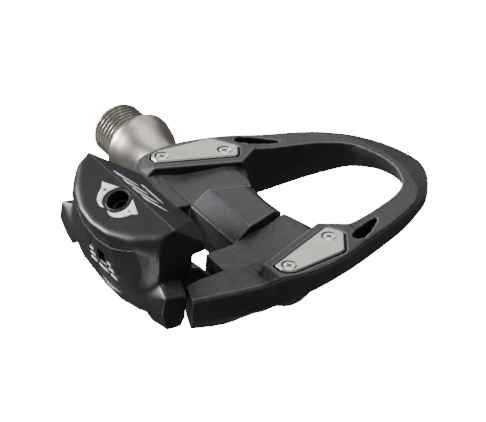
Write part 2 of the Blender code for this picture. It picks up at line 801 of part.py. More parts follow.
def make_binding(parts, cutters, material):
    binding = loft("binding_lever", binding_rings(), parts)
    roof = prism_y(
        "roof_cutter",
        [(-60.0, 40.0), (-60.0, roof_z(-60.0)), (ROOF_X, ROOF_Z), (-10.0, roof_z(-10.0)), (-10.0, 40.0)],
        -30.0,
        30.0,
        cutters,
    )
    cut(binding, roof)
    for sign, side in ((1, "inner"), (-1, "outer")):
        corner = [
            (ROOF_X, 19.0, ROOF_Z),
            (-25.4, 11.0, roof_z(-25.4)),
            (-27.0, 19.4, 20.6),
            (ROOF_X, 19.0, ROOF_Z + 6.0),
            (-24.0, 11.0, roof_z(-25.4) + 6.0),
            (-24.0, 22.0, 30.0),
            (-24.0, 22.0, 19.0),
            (-37.0, 22.0, 30.0),
        ]
        cut(binding, hull(f"corner_facet_{side}", side_points(corner, sign), cutters))
        keel = [
            (-60.0, 3.0, -0.2),
            (-60.0, 26.0, 7.0),
            (-30.0, 3.0, -0.2),
            (-30.0, 26.0, 7.0),
            (-60.0, 3.0, -8.0),
            (-60.0, 26.0, -8.0),
            (-30.0, 3.0, -8.0),
            (-30.0, 26.0, -8.0),
        ]
        cut(binding, hull(f"keel_{side}", side_points(keel, sign), cutters))
        join(binding, hull(f"ear_{side}", side_points(EAR_CORNERS, sign), cutters))
        join(binding, hull(f"cheek_{side}", side_points(CHEEK_CORNERS, sign), cutters))
    cut(binding, prism_y("keel_middle", [(-60.0, 0.0), (-30.0, 0.0), (-30.0, -8.0), (-60.0, -8.0)],
                         -30.0, 30.0, cutters))
    join(binding, make_lip(cutters))
    cut(binding, make_binding_cavity(cutters))
    cut(binding, tilted_cylinder("bolt_hole", BOLT_HOLE_R, -14.0, 4.0, cutters, 24))
    cut(binding, prism_y("window", [(-48.0, 9.4), (-48.0, 13.0), (-40.0, 13.0), (-40.0, 9.4)],
                         -1.7, 1.7, cutters))
    cut(binding, cylinder_y("ear_bore", PIN_R + 0.1, PIN_X, PIN_Z, -PIN_HALF_LENGTH - 0.4,
                            PIN_HALF_LENGTH + 0.4, cutters, 20))
    set_origin(binding, (PIN_X, 0.0, PIN_Z))
    return finish(binding, material)


def make_lip(cutters):
    """The tongue in the middle of the front edge, which hooks over the cleat."""
    corners = []
    for y in (-5.5, 5.5):
        corners += [
            (-28.0, y, roof_z(-27.0)),
            (-26.0, y, 22.2),
            (-22.4, y, 21.9),
            (-22.4, y, 20.9),
            (-26.0, y, 19.4),
            (-29.6, y, 18.8),
        ]
    return hull("lip", corners, cutters)


def make_binding_cavity(cutters):
    """The room for the springs, the pin lugs and the tension nut."""
    outline = [
        (-40.4, 5.4),
        (-41.35, 8.0),
        (-42.0, 14.0),
        (-41.0, 19.4),
        (-36.2, 22.0),
        (-31.0, 20.2),
        (-27.0, 18.9),
        (-20.0, 18.6),
        (-20.0, -3.0),
        (-38.0, -3.0),
        (-39.2, 1.4),
    ]
    rings = []
    for y, step in ((-16.4, 1.9), (-12.4, 0.0), (12.4, 0.0), (16.4, 1.9)):
        rings.append([(x + (step if x < -38.0 else 0.0), y, z) for x, z in outline])
    return loft("binding_cavity", rings, cutters)


def bolt_axis():
    """Unit vector along the tension bolt, out of the top face."""
    return Vector((-ROOF_SLOPE, 0.0, 1.0)).normalized()


def bolt_point(along):
    """A point on the bolt's axis, counted from the top face, from the centre plane."""
    spot = Vector((BOLT_X, 0.0, roof_z(BOLT_X))) + bolt_axis() * along
    return tuple(spot)


def tilt_matrix():
    """Turns an upright piece into one along the bolt, with its origin on the top face."""
    turn = Matrix.Rotation(-math.atan(ROOF_SLOPE), 4, "Y")
    return Matrix.Translation(place(*bolt_point(0.0))) @ turn


def tilted_cylinder(name, radius, low, high, collection, segments):
    shape = bmesh.new()
    bmesh.ops.create_cone(
        shape,
        cap_ends=True,
        segments=segments,
        radius1=radius * MM,
        radius2=radius * MM,
        depth=(high - low) * MM,
        matrix=tilt_matrix() @ Matrix.Translation((0.0, 0.0, (low + high) / 2 * MM)),
    )
    return mesh_object(name, shape, collection)


def make_tension_bolt(parts, cutters, material):
    profile = [
        (0.0, -2.4),
        (2.2, -2.4),
        (2.45, -2.7),
        (2.45, -5.2),
        (1.6, -5.5),
        (1.6, -16.0),
        (1.2, -16.4),
        (0.0, -16.4),
    ]
    bolt = turned("tension_bolt", profile, parts, 24)
    bolt.rotation_euler = (0.0, 0.0, 0.0)
    bolt.matrix_world = tilt_matrix()
    shape = bmesh.new()
    bmesh.ops.create_cone(
        shape,
        cap_ends=True,
        segments=6,
        radius1=1.5 / math.cos(math.pi / 6) * MM,
        radius2=1.5 / math.cos(math.pi / 6) * MM,
        depth=4.0 * MM,
        matrix=tilt_matrix() @ Matrix.Translation((0.0, 0.0, -2.4 * MM)),
    )
    cut(bolt, mesh_object("bolt_hex_cutter", shape, cutters))
    return finish(bolt, material)


def make_tension_nut(parts, cutters, material):
    """The square nut on the bolt, which the spring legs press on."""
    shape = bmesh.new()
    bmesh.ops.create_cube(
        shape,
        size=1.0,
        matrix=tilt_matrix()
        @ Matrix.Translation((0.0, 0.0, -11.4 * MM))
        @ Matrix.Diagonal((5.6 * MM, 24.0 * MM, 2.6 * MM, 1.0)),
    )
    nut = mesh_object("tension_nut", shape, parts)
    cut(nut, tilted_cylinder("nut_bore", 1.75, -20.0, 0.0, cutters, 24))
    set_origin(nut, bolt_point(-11.4))
    return finish(nut, material)


def make_indicator(parts, cutters, material):
    """The pointer plate that rides on the nut and shows in the rear window."""
    shape = bmesh.new()
    bmesh.ops.create_cube(
        shape,
        size=1.0,
        matrix=tilt_matrix()
        @ Matrix.Translation((-2.2 * MM, 0.0, -9.4 * MM))
        @ Matrix.Diagonal((9.4 * MM, 5.2 * MM, 0.8 * MM, 1.0)),
    )
    indicator = mesh_object("tension_indicator", shape, parts)
    tab = []
    for y in (-1.3, 1.3):
        tab += [(-41.2, y, 9.9), (-40.4, y, 9.9), (-41.5, y, 14.2), (-40.4, y, 14.2)]
    join(indicator, hull("indicator_tab", tab, cutters))
    cut(indicator, tilted_cylinder("indicator_bore", 1.9, -14.0, -6.0, cutters, 24))
    set_origin(indicator, bolt_point(-9.4))
    return finish(indicator, material)


def make_pin(parts, material):
    pin = cylinder_y("hinge_pin", PIN_R, PIN_X, PIN_Z, -PIN_HALF_LENGTH, PIN_HALF_LENGTH, parts, 20)
    return finish(pin, material)


def make_spring(sign, side, parts, material):
    """A torsion spring round the pin, with one leg up to the nut and one under the lug."""
    coil = []
    per_turn = 12
    first = math.radians(120.0)
    count = int(SPRING_TURNS * per_turn) + 4
    for index in range(count + 1):
        turn = index / per_turn
        angle = first + 2 * math.pi * turn
        y = SPRING_START_Y + SPRING_PITCH * turn
        coil.append((PIN_X + SPRING_R * math.cos(angle), y, PIN_Z + SPRING_R * math.sin(angle)))
    upper = (coil[0][0] + 2.9, SPRING_START_Y, coil[0][2] + 1.65)
    bend = (coil[-1][0] + 3.0, coil[-1][1], coil[-1][2] - 1.7)
    hook = (bend[0] + 0.4, LUG_INNER_Y + 1.4, bend[2])
    points = [upper, *coil, bend, hook]
    curve = bpy.data.curves.new(f"tension_spring_{side}", "CURVE")
    curve.dimensions = "3D"
    curve.bevel_depth = SPRING_WIRE_R * MM
    curve.bevel_resolution = 1
    curve.use_fill_caps = True
    spline = curve.splines.new("POLY")
    spline.points.add(len(points) - 1)
    for point, (x, y, z) in zip(spline.points, points):
        point.co = (*place(x, sign * y, z), 1.0)
    spring = add_object(f"tension_spring_{side}", curve, parts)
    spring.data.materials.append(material)
    return spring


def main():
    clear_scene()
    parts = make_collection("clipless_pedal")
    cutters = make_collection("cutters", hidden=True)
    materials = {
        "body": make_material("body_composite", (0.045, 0.047, 0.052), 0.55),
        "binding": make_material("binding_composite", (0.05, 0.052, 0.057), 0.45),
        "spindle": make_material("spindle_steel", (0.52, 0.50, 0.47), 0.32, 1.0),
        "steel": make_material("plain_steel", (0.5, 0.5, 0.5), 0.35, 1.0),
        "bright_steel": make_material("bearing_steel", (0.7, 0.7, 0.7), 0.2, 1.0),
        "plate": make_material("plate_steel", (0.62, 0.60, 0.57), 0.38, 1.0),
        "screw": make_material("screw_steel", (0.75, 0.74, 0.72), 0.25, 1.0),
        "rubber": make_material("seal_rubber", (0.02, 0.02, 0.02), 0.8),
        "black_nylon": make_material("black_nylon", (0.03, 0.03, 0.03), 0.5),
        "dark_steel": make_material("dark_steel", (0.12, 0.12, 0.12), 0.4, 1.0),
    }
    make_spindle(parts, cutters, materials["spindle"])
    make_bearing_parts(parts, materials)
    make_ball_ring("inner_ball_ring", INNER_BALLS_Y, parts, cutters, materials["bright_steel"])
    make_ball_ring("outer_ball_ring", OUTER_BALLS_Y, parts, cutters, materials["bright_steel"])
    make_nuts(parts, cutters, materials)
    make_body(parts, cutters, materials["body"])
    make_plates(parts, cutters, materials)
    make_binding(parts, cutters, materials["binding"])
    make_pin(parts, materials["dark_steel"])
    make_tension_bolt(parts, cutters, materials["dark_steel"])
    make_tension_nut(parts, cutters, materials["steel"])
    make_indicator(parts, cutters, materials["screw"])
    for sign, side in ((1, "inner"), (-1, "outer")):
        make_spring(sign, side, parts, materials["steel"])


main()
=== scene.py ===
"""Looks of the road clipless pedal: fine surfaces, decals, materials, light and camera.

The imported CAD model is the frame, and nothing in it is moved. Sizes are in
millimetres, counted like the CAD from the pedal's centre plane; place() turns
them into metres in the shared frame.
"""

import math

import bmesh
import bpy
import numpy as np
from mathutils import Matrix, Vector
from mathutils.bvhtree import BVHTree


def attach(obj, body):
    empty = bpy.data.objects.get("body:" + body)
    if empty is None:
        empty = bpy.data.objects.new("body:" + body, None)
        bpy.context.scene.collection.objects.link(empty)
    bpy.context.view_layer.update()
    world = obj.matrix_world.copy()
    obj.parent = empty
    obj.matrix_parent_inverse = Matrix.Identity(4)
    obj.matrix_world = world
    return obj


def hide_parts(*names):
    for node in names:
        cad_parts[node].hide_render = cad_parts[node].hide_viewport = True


MM = 0.001
CENTRE_Y = -53.0
VOXEL = 0.22
SOFTENING_STEPS = 5

# Binding: its roof falls both ways from a crease, and the adjusting hole is in its rear half.
ROOF_X = -35.7
ROOF_Z = 27.0
ROOF_SLOPE = 0.5
HOLE_X = -39.0
HOLE_R = 2.7
RIM = (
    (-46.6, 0.0, 21.5), (-45.9, 6.0, 21.9), (-43.4, 13.2, 23.1), (-40.8, 17.0, 24.4), (-39.3, 19.0, 25.1),
)  # fmt: skip
RIM_REACH = 3.9
RIM_STEPS = 220

# Crease between the binding's cheek and its ear, which is blended.
EAR_CREASE = ((-42.0, 12.8, 8.3), (-41.3, 15.5, 10.5), (-40.6, 17.5, 12.2))
EAR_REACH = 4.6
EAR_STEPS = 140

# Rear face of the binding: the oval hollow at its foot and the moulding line under its rim.
OVAL_HALF_WIDTH = 5.6
OVAL_HALF_HEIGHT = 1.9
OVAL_Z = 3.9
OVAL_DEPTH = 0.45
OVAL_LIP_R = 0.3
OVAL_POINTS = 48
PARTING_HALF = 14.0
PARTING_Z = 16.6
PARTING_RISE = 4.2
PARTING_WIDTH = 0.16
PARTING_STEPS = 40

# Plates and their screws.
PLATE_TOP_Z = 13.7
SCREWS = ((-9.5, 27.3), (5.6, 22.1))

# Spindle, measured along its axis from the crank seat.
THREAD_R = 7.14
THREAD_ROOT_R = 6.45
THREAD_PITCH = 1.27
THREAD_END = 11.7
THREAD_START = 1.3
HEX_ACROSS_FLATS = 8.0
HEX_DEPTH = 9.0
SPINDLE_PROFILE = (
    (6.3, 0.0), (9.05, 0.0), (9.3, -0.25), (9.3, -1.3), (9.1, -1.9), (8.85, -3.3), (8.4, -4.9),
    (7.75, -6.5), (6.95, -8.4), (6.35, -10.4), (6.05, -12.6), (6.0, -15.0), (6.0, -30.4),
    (4.4, -31.0), (3.7, -32.0), (3.7, -58.0), (3.0, -58.6), (3.0, -70.6), (2.5, -71.1),
)  # fmt: skip

# Camera: where it aims, its distance and its angles in degrees.
AIM = (-3.6, 0.0, 11.0)
CAMERA_DISTANCE = 500.0
CAMERA_AZIMUTH = 36.1
CAMERA_ELEVATION = 32.95
CAMERA_ROLL = 3.66
LENS = 154.4
FLOOR_Z = -75.0
BACKDROP_STRENGTH = 18.0


def place(x, y, z):
    return Vector((x, y + CENTRE_Y, z)) * MM


# Mesh tools -------------------------------------------------------------------
def add_mesh(name, shape):
    bmesh.ops.recalc_face_normals(shape, faces=shape.faces)
    mesh = bpy.data.meshes.new(name)
    shape.to_mesh(mesh)
    shape.free()
    obj = bpy.data.objects.new(name, mesh)
    bpy.context.scene.collection.objects.link(obj)
    return obj


def applied(obj):
    """Puts an object's modifiers into its mesh."""
    graph = bpy.context.evaluated_depsgraph_get()
    mesh = bpy.data.meshes.new_from_object(obj.evaluated_get(graph))
    obj.modifiers.clear()
    obj.data = mesh
    return obj


def hull(name, points):
    shape = bmesh.new()
    for point in points:
        shape.verts.new(place(*point))
    result = bmesh.ops.convex_hull(shape, input=shape.verts)
    inner = [item for item in result["geom_interior"] if isinstance(item, bmesh.types.BMVert)]
    bmesh.ops.delete(shape, geom=inner, context="VERTS")
    return add_mesh(name, shape)


def combine(target, tools, operation):
    for tool in tools:
        modifier = target.modifiers.new(tool.name, "BOOLEAN")
        modifier.operation = operation
        modifier.solver = "EXACT"
        modifier.object = tool
    applied(target)
    for tool in tools:
        bpy.data.objects.remove(tool, do_unlink=True)


def refined(name, node, cuts=(), additions=()):
    """A copy of a CAD node with extra detail and every edge rounded as in a moulding."""
    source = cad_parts[node]
    obj = bpy.data.objects.new(name, source.data.copy())
    bpy.context.scene.collection.objects.link(obj)
    obj.data.materials.clear()
    if additions:
        combine(obj, additions, "UNION")
    if cuts:
        combine(obj, cuts, "DIFFERENCE")
    remesh = obj.modifiers.new("voxels", "REMESH")
    remesh.mode = "VOXEL"
    remesh.voxel_size = VOXEL * MM
    soft = obj.modifiers.new("soft", "SMOOTH")
    soft.factor = 0.5
    soft.iterations = SOFTENING_STEPS
    applied(obj)
    obj.data.shade_smooth()
    return obj


def mark_edges(obj):
    """Stores how convex the surface is at each point, for the painted highlight that makes convex edges
    paler.
    """
    mesh = obj.data
    count = len(mesh.vertices)
    places = np.empty(count * 3, np.float32)
    normals = np.empty(count * 3, np.float32)
    ends = np.empty(len(mesh.edges) * 2, np.int32)
    mesh.vertices.foreach_get("co", places)
    mesh.vertices.foreach_get("normal", normals)
    mesh.edges.foreach_get("vertices", ends)
    places, normals, ends = places.reshape(-1, 3), normals.reshape(-1, 3), ends.reshape(-1, 2)
    first = np.concatenate([ends[:, 0], ends[:, 1]])
    second = np.concatenate([ends[:, 1], ends[:, 0]])
    neighbours = np.maximum(np.bincount(first, minlength=count), 1)

    def around(values):
        return np.bincount(first, values[second], minlength=count) / neighbours

    middle = np.stack([around(places[:, axis]) for axis in range(3)], axis=1)
    convex = ((places - middle) * normals).sum(axis=1) / (VOXEL * MM)
    for _ in range(3):
        convex = 0.5 * convex + 0.5 * around(convex)
    layer = mesh.attributes.new("convexity", "FLOAT", "POINT")
    layer.data.foreach_set("value", convex.astype(np.float32))


def finished(obj, material, body, *nodes):
    """Gives a piece its material and slot and its body, and hides the CAD nodes that it stands for."""
    obj.data.materials.clear()
    obj.data.materials.append(material)
    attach(obj, body)
    if nodes:
        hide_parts(*nodes)


def segment_distance(point, start, end):
    along = end - start
    share = max(0.0, min(1.0, (point - start).dot(along) / along.length_squared))
    return (point - start - along * share).length


def round_along(obj, line, reach, iterations):
    """Rounds the edge near a line by smoothing only what is within reach of it."""
    group = obj.vertex_groups.new(name="round")
    half = [place(*point) for point in line]
    other = [place(x, -y, z) for x, y, z in line]
    segments = list(zip(half[:-1], half[1:])) + list(zip(other[:-1], other[1:]))
    for vertex in obj.data.vertices:
        distance = min(segment_distance(vertex.co, *segment) for segment in segments)
        weight = 1.0 - distance / (reach * MM)
        if weight > 0.0:
            group.add([vertex.index], min(1.0, 1.6 * weight), "REPLACE")
    smooth = obj.modifiers.new("round", "SMOOTH")
    smooth.vertex_group = group.name
    smooth.factor = 0.5
    smooth.iterations = iterations
    applied(obj)
    obj.vertex_groups.clear()


def decal(name, outlines, to_world, inward, tree, height=0.1):
    """Thin printed shapes laid onto a surface.

    outlines are closed lists of (u, v) points, to_world turns them into places
    off the surface, and inward is the direction in which they drop onto it.
    """
    shape = bmesh.new()
    for outline in outlines:
        corners = [shape.verts.new(to_world(u, v)) for u, v in outline]
        shape.faces.new(corners)
    bmesh.ops.remove_doubles(shape, verts=shape.verts, dist=0.001 * MM)
    shape.normal_update()
    bmesh.ops.triangulate(shape, faces=shape.faces, ngon_method="EAR_CLIP")
    for _ in range(2):
        bmesh.ops.subdivide_edges(shape, edges=shape.edges, cuts=1, use_grid_fill=True)
        bmesh.ops.triangulate(shape, faces=shape.faces)
    for vertex in shape.verts:
        hit = tree.ray_cast(vertex.co, inward)[0]
        if hit is not None:
            vertex.co = hit - inward * height * MM * 0.5
    obj = add_mesh(name, shape)
    solid = obj.modifiers.new("thickness", "SOLIDIFY")
    solid.thickness = height * MM
    solid.offset = 0.0
    applied(obj)
    obj.data.shade_smooth()
    return obj


def tree_of(obj):
    graph = bpy.context.evaluated_depsgraph_get()
    return BVHTree.FromObject(obj, graph)


# Materials --------------------------------------------------------------------
class Nodes:
    """A Principled material and short ways to wire its nodes."""

    def __init__(self, name, color, roughness, metallic=0.0):
        self.material = bpy.data.materials.new(name)
        self.material.use_nodes = True
        self.tree = self.material.node_tree
        self.shader = self.tree.nodes["Principled BSDF"]
        self.set("Base Color", (*color, 1.0))
        self.set("Roughness", roughness)
        self.set("Metallic", metallic)

    def set(self, socket, value):
        self.shader.inputs[socket].default_value = value

    def add(self, kind, **values):
        node = self.tree.nodes.new(kind)
        for key, value in values.items():
            if hasattr(node, key):
                setattr(node, key, value)
            else:
                node.inputs[key].default_value = value
        return node

    def link(self, start, end):
        self.tree.links.new(start, end)

    def coordinates(self, stretch=(1.0, 1.0, 1.0)):
        source = self.add("ShaderNodeTexCoord")
        mapping = self.add("ShaderNodeMapping", Scale=stretch)
        self.link(source.outputs["Object"], mapping.inputs["Vector"])
        return mapping.outputs["Vector"]

    def noise(self, scale, detail=3.0, stretch=(1.0, 1.0, 1.0), roughness=0.6):
        texture = self.add("ShaderNodeTexNoise", Scale=scale, Detail=detail, Roughness=roughness)
        self.link(self.coordinates(stretch), texture.inputs["Vector"])
        return texture.outputs["Fac"]

    def ramp(self, source, low, high, start=0.3, end=0.7):
        ramp = self.add("ShaderNodeMapRange")
        ramp.inputs["From Min"].default_value = start
        ramp.inputs["From Max"].default_value = end
        ramp.inputs["To Min"].default_value = low
        ramp.inputs["To Max"].default_value = high
        self.link(source, ramp.inputs["Value"])
        return ramp.outputs["Result"]

    def blend(self, factor, first, second):
        mix = self.add("ShaderNodeMix", data_type="RGBA")
        self.link(factor, mix.inputs[0])
        for index, value in ((6, first), (7, second)):
            if isinstance(value, tuple):
                mix.inputs[index].default_value = (*value, 1.0)
            else:
                self.link(value, mix.inputs[index])
        return mix.outputs[2]

    def bump(self, height, strength, distance=0.1):
        bump = self.add("ShaderNodeBump", Strength=strength, Distance=distance * MM)
        self.link(height, bump.inputs["Height"])
        self.link(bump.outputs["Normal"], self.shader.inputs["Normal"])


def composite(name, dark, light, edge, roughness, grain):
    """Fibre-filled plastic: streaky mottling, fine grain, and a painted highlight that makes convex edges
    paler.
    """
    made = Nodes(name, dark, roughness)
    streaks = made.noise(1300.0, 4.0, (0.3, 1.0, 1.0))
    speckle = made.noise(2400.0, 3.0)
    mottled = made.blend(made.ramp(streaks, 0.0, 1.0), dark, light)
    brighter = tuple(1.6 * value for value in light)
    grained = made.blend(made.ramp(speckle, 0.0, grain, 0.45, 0.75), mottled, brighter)
    # Convex edges are blended towards a paler colour: a painted highlight along the edges.
    convex = made.add("ShaderNodeAttribute", attribute_name="convexity").outputs["Fac"]
    edge_highlight_mask = made.ramp(convex, 0.0, 1.0, 0.02, 0.09)
    made.link(made.blend(edge_highlight_mask, grained, edge), made.shader.inputs["Base Color"])
    uneven = 0.15 * grain
    gloss = made.ramp(streaks, roughness - uneven, roughness + uneven)
    made.link(gloss, made.shader.inputs["Roughness"])
    made.bump(speckle, 0.6 * grain + 0.06, 0.1)
    made.set("Specular IOR Level", 0.45)
    made.set("Specular Tint", (0.93, 0.95, 1.0, 1.0))
    return made.material


def steel(name, color, roughness, stretch, grain_scale=2500.0, strength=0.12):
    """Machined or brushed steel, with its tool marks running along the unstretched axis."""
    made = Nodes(name, color, roughness, 1.0)
    marks = made.noise(grain_scale, 3.0, stretch)
    cloud = made.noise(160.0, 2.0)
    darker = tuple(0.86 * value for value in color)
    made.link(made.blend(made.ramp(cloud, 0.0, 1.0), darker, color), made.shader.inputs["Base Color"])
    made.link(made.ramp(marks, roughness - 0.07, roughness + 0.1), made.shader.inputs["Roughness"])
    made.bump(marks, strength, 0.03)
    return made.material


def soft_black(name, color, roughness):
    """Nylon or rubber with a fine matte texture."""
    made = Nodes(name, color, roughness)
    grain = made.noise(2600.0, 3.0)
    paler = tuple(1.7 * value for value in color)
    made.link(made.blend(made.ramp(grain, 0.0, 0.6), color, paler), made.shader.inputs["Base Color"])
    made.link(made.ramp(grain, roughness - 0.08, roughness + 0.08), made.shader.inputs["Roughness"])
    made.bump(grain, 0.12, 0.05)
    return made.material


def print_ink(name, color):
    """Pad-printed silver ink, a little uneven."""
    made = Nodes(name, color, 0.5)
    cover = made.noise(1800.0, 3.0)
    thin = tuple(0.86 * value for value in color)
    made.link(made.blend(made.ramp(cover, 0.0, 1.0), thin, color), made.shader.inputs["Base Color"])
    made.link(made.ramp(cover, 0.45, 0.6), made.shader.inputs["Roughness"])
    return made.material


def make_materials():
    uniform = (1.0, 1.0, 1.0)
    return {
        "body": composite(
            "body_composite",
            dark=(0.012, 0.0123, 0.0132),
            light=(0.026, 0.0264, 0.028),
            # Colour of the painted highlight on convex edges.
            edge=(0.105, 0.106, 0.109),
            roughness=0.5,
            grain=0.8,
        ),
        "binding": composite(
            "binding_composite",
            dark=(0.006, 0.0062, 0.0068),
            light=(0.009, 0.0092, 0.01),
            # Colour of the painted highlight on convex edges.
            edge=(0.03, 0.031, 0.032),
            roughness=0.38,
            grain=0.2,
        ),
        "spindle": steel("spindle_steel", (0.37, 0.345, 0.31), 0.36, (1.0, 14.0, 1.0)),
        "plate": steel("plate_steel", (0.53, 0.505, 0.465), 0.42, uniform, 1400.0, 0.08),
        "screw": steel("screw_steel", (0.6, 0.585, 0.56), 0.3, uniform),
        # Painted shade in the screw crosses and on the oval hollow's floor, and the dark plus and minus
        # signs.
        "recess": soft_black("recess_black", (0.012, 0.012, 0.012), 0.6),
        "bright_steel": steel("bearing_steel", (0.7, 0.7, 0.7), 0.2, (1.0, 8.0, 1.0)),
        "steel": steel("plain_steel", (0.42, 0.42, 0.42), 0.38, uniform),
        "dark_steel": steel("dark_steel", (0.09, 0.09, 0.095), 0.42, uniform),
        "nylon": soft_black("black_nylon", (0.018, 0.018, 0.019), 0.5),
        "rubber": soft_black("seal_rubber", (0.012, 0.012, 0.012), 0.75),
        # A raised moulding line whose paler colour is a painted highlight.
        "edge": soft_black("moulding_line_painted_highlight", (0.03, 0.0305, 0.0315), 0.45),
        "ink": print_ink("silver_ink", (0.72, 0.73, 0.75)),
    }


# Body and plates ----------------------------------------------------------------
def make_body(materials):
    body = refined("refined_body", "pedal_body")
    mark_edges(body)
    finished(body, materials["body"], "body", "pedal_body")


def make_plates(materials):
    """Rounds the plates and screws, and puts a dark cross of painted shade in each screw."""
    for side, sign in (("inner", 1), ("outer", -1)):
        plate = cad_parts[f"cleat_plate_{side}"]
        assign(plate, materials["plate"])
        round_edges(plate, 0.08)
        for label, (x, y) in zip(("rear", "front"), SCREWS):
            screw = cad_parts[f"plate_screw_{label}_{side}"]
            assign(screw, materials["screw"])
            round_edges(screw, 0.04)
            make_cross(f"cross_{label}_{side}", x, sign * y, materials["recess"])


def make_cross(name, x, y, material):
    """Painted shade in the cross recess of a screw head: a dark block of two crossed bars with tapered ends.
    """
    shape = bmesh.new()
    half, width, tip = 0.85, 0.26, 0.17
    top = PLATE_TOP_Z - 0.09
    for turn in (0.0, math.pi / 2):
        ring = []
        lower_side = ((-half, -tip), (0, -width), (half, -tip))
        upper_side = ((half, tip), (0, width), (-half, tip))
        for along, across in lower_side + upper_side:
            u = along * math.cos(turn) - across * math.sin(turn)
            v = along * math.sin(turn) + across * math.cos(turn)
            ring.append((x + u, y + v))
        upper = [shape.verts.new(place(u, v, top + 0.002 * (turn > 0))) for u, v in ring]
        lower = [shape.verts.new(place(u, v, top - 0.3)) for u, v in ring]
        shape.faces.new(upper)
        shape.faces.new(lower[::-1])
        for index in range(6):
            after = (index + 1) % 6
            shape.faces.new((upper[index], lower[index], lower[after], upper[after]))
    finished(add_mesh(name, shape), material, "body")


def assign(node, material):
    if not node.data.materials:
        node.data.materials.append(material)
    for slot in node.material_slots:
        slot.material = material


def round_edges(node, width, segments=2):
    bevel = node.modifiers.new("round", "BEVEL")
    bevel.width = width * MM
    bevel.segments = segments
    bevel.limit_method = "ANGLE"
    bevel.angle_limit = math.radians(35)
    bevel.harden_normals = False


# Binding ------------------------------------------------------------------------
def roof_frame(front=False):
    """Origin at the hole or at the crease, and the in-plane and outward directions of a roof face."""
    side = 1.0 if front else -1.0
    down = Vector((side, 0.0, -ROOF_SLOPE)).normalized()
    out = Vector((side * ROOF_SLOPE, 0.0, 1.0)).normalized()
    if front:
        return Vector((ROOF_X, 0.0, ROOF_Z)), down, out
    return Vector((HOLE_X, 0.0, ROOF_Z - ROOF_SLOPE * abs(HOLE_X - ROOF_X))), down, out


def roof_point(front=False, lift=3.0):
    origin, down, out = roof_frame(front)

    def to_world(along, across):
        spot = origin + down * along + out * lift
        return place(spot.x, across, spot.z)

    return to_world, -out


def crescent(sign):
    """A curved arrow round the hole, as (down the slope, across) points."""
    points = []
    steps = 14
    for step in range(steps + 1):
        share = step / steps
        angle = math.radians(12 + 74 * share)
        radius = 3.45 + 3.0 * share**0.75
        points.append((radius * math.cos(angle), radius * math.sin(angle)))
    points += [(-0.7, 7.9), (-1.35, 6.0), (-2.4, 3.0)]
    for step in range(steps):
        share = step / steps
        angle = math.radians(118 - 106 * share)
        radius = 3.8 + 0.3 * math.sin(math.pi * share) - 0.35 * share**4
        points.append((radius * math.cos(angle), radius * math.sin(angle)))
    return [(s, sign * t) for s, t in points]


def rear_spot(tree, across, height, depth=0.0):
    """A place on the rear face of the binding, or this far inside it."""
    hit = tree.ray_cast(place(-60.0, across, height), Vector((1.0, 0.0, 0.0)))[0]
    return hit + Vector((depth * MM, 0.0, 0.0))


def oval(turn, shrink=0.0):
    """A point of the oval hollow at the foot of the rear face, as (across, height)."""
    angle = 2 * math.pi * turn
    across = math.copysign(abs(math.cos(angle)) ** 0.8, math.cos(angle))
    return (OVAL_HALF_WIDTH - shrink) * across, OVAL_Z + (OVAL_HALF_HEIGHT - shrink) * math.sin(angle)


def oval_pocket(tree):
    """The cutter that makes the hollow, from outside the rear face to its floor."""
    shape = bmesh.new()
    ring = [oval(step / OVAL_POINTS) for step in range(OVAL_POINTS)]
    rims, middles = [], []
    for depth in (-1.5, OVAL_DEPTH):
        rims.append([shape.verts.new(rear_spot(tree, y, z, depth)) for y, z in ring])
        middles.append(shape.verts.new(rear_spot(tree, 0.0, OVAL_Z, depth)))
    for index in range(OVAL_POINTS):
        after = (index + 1) % OVAL_POINTS
        shape.faces.new((rims[0][index], rims[1][index], rims[1][after], rims[0][after]))
        for middle, rim in zip(middles, rims):
            shape.faces.new((middle, rim[index], rim[after]))
    return add_mesh("oval_pocket", shape)


def oval_lip(tree):
    """The thin raised edge along the foot of the hollow."""
    shape = bmesh.new()
    sides = 8
    rings = []
    for step in range(OVAL_POINTS):
        y, z = oval(step / OVAL_POINTS, -0.25)
        middle = rear_spot(tree, y, z)
        spoke = Vector((0.0, y, z - OVAL_Z)).normalized()
        radius = OVAL_LIP_R * (0.2 + 0.8 * max(0.0, -spoke.z))
        ring = []
        for side in range(sides):
            angle = 2 * math.pi * side / sides
            offset = spoke * math.cos(angle) + Vector((1.0, 0.0, 0.0)) * math.sin(angle)
            ring.append(shape.verts.new(middle + offset * radius * MM))
        rings.append(ring)
    for ring, following in zip(rings, rings[1:] + rings[:1]):
        for side in range(sides):
            after = (side + 1) % sides
            shape.faces.new((ring[side], following[side], following[after], ring[after]))
    return add_mesh("oval_lip", shape)


def make_binding(materials):
    window_slot = hull(
        "window_slot",
        [
            (x, y, z)
            for x in (-46.0, -42.6)
            for y, z in ((5.4, 14.2), (4.8, 14.2), (4.0, 11.9), (4.5, 11.9))
        ],
    )
    source = tree_of(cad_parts["binding_lever"])
    cuts = [window_slot, oval_pocket(source)]
    binding = refined("refined_binding", "binding_lever", cuts, [oval_lip(source)])
    round_along(binding, RIM, RIM_REACH, RIM_STEPS)
    round_along(binding, EAR_CREASE, EAR_REACH, EAR_STEPS)
    mark_edges(binding)
    finished(binding, materials["binding"], "binding", "binding_lever")
    tree = tree_of(binding)
    make_roof_prints(tree, materials)
    make_rear_prints(tree, materials)
    make_hole_rim(materials)


def bar(u, v, half_u, half_v):
    """The outline of a bar round a middle, as (u, v) points."""
    return [
        (u - half_u, v - half_v), (u + half_u, v - half_v),
        (u + half_u, v + half_v), (u - half_u, v + half_v),
    ]  # fmt: skip


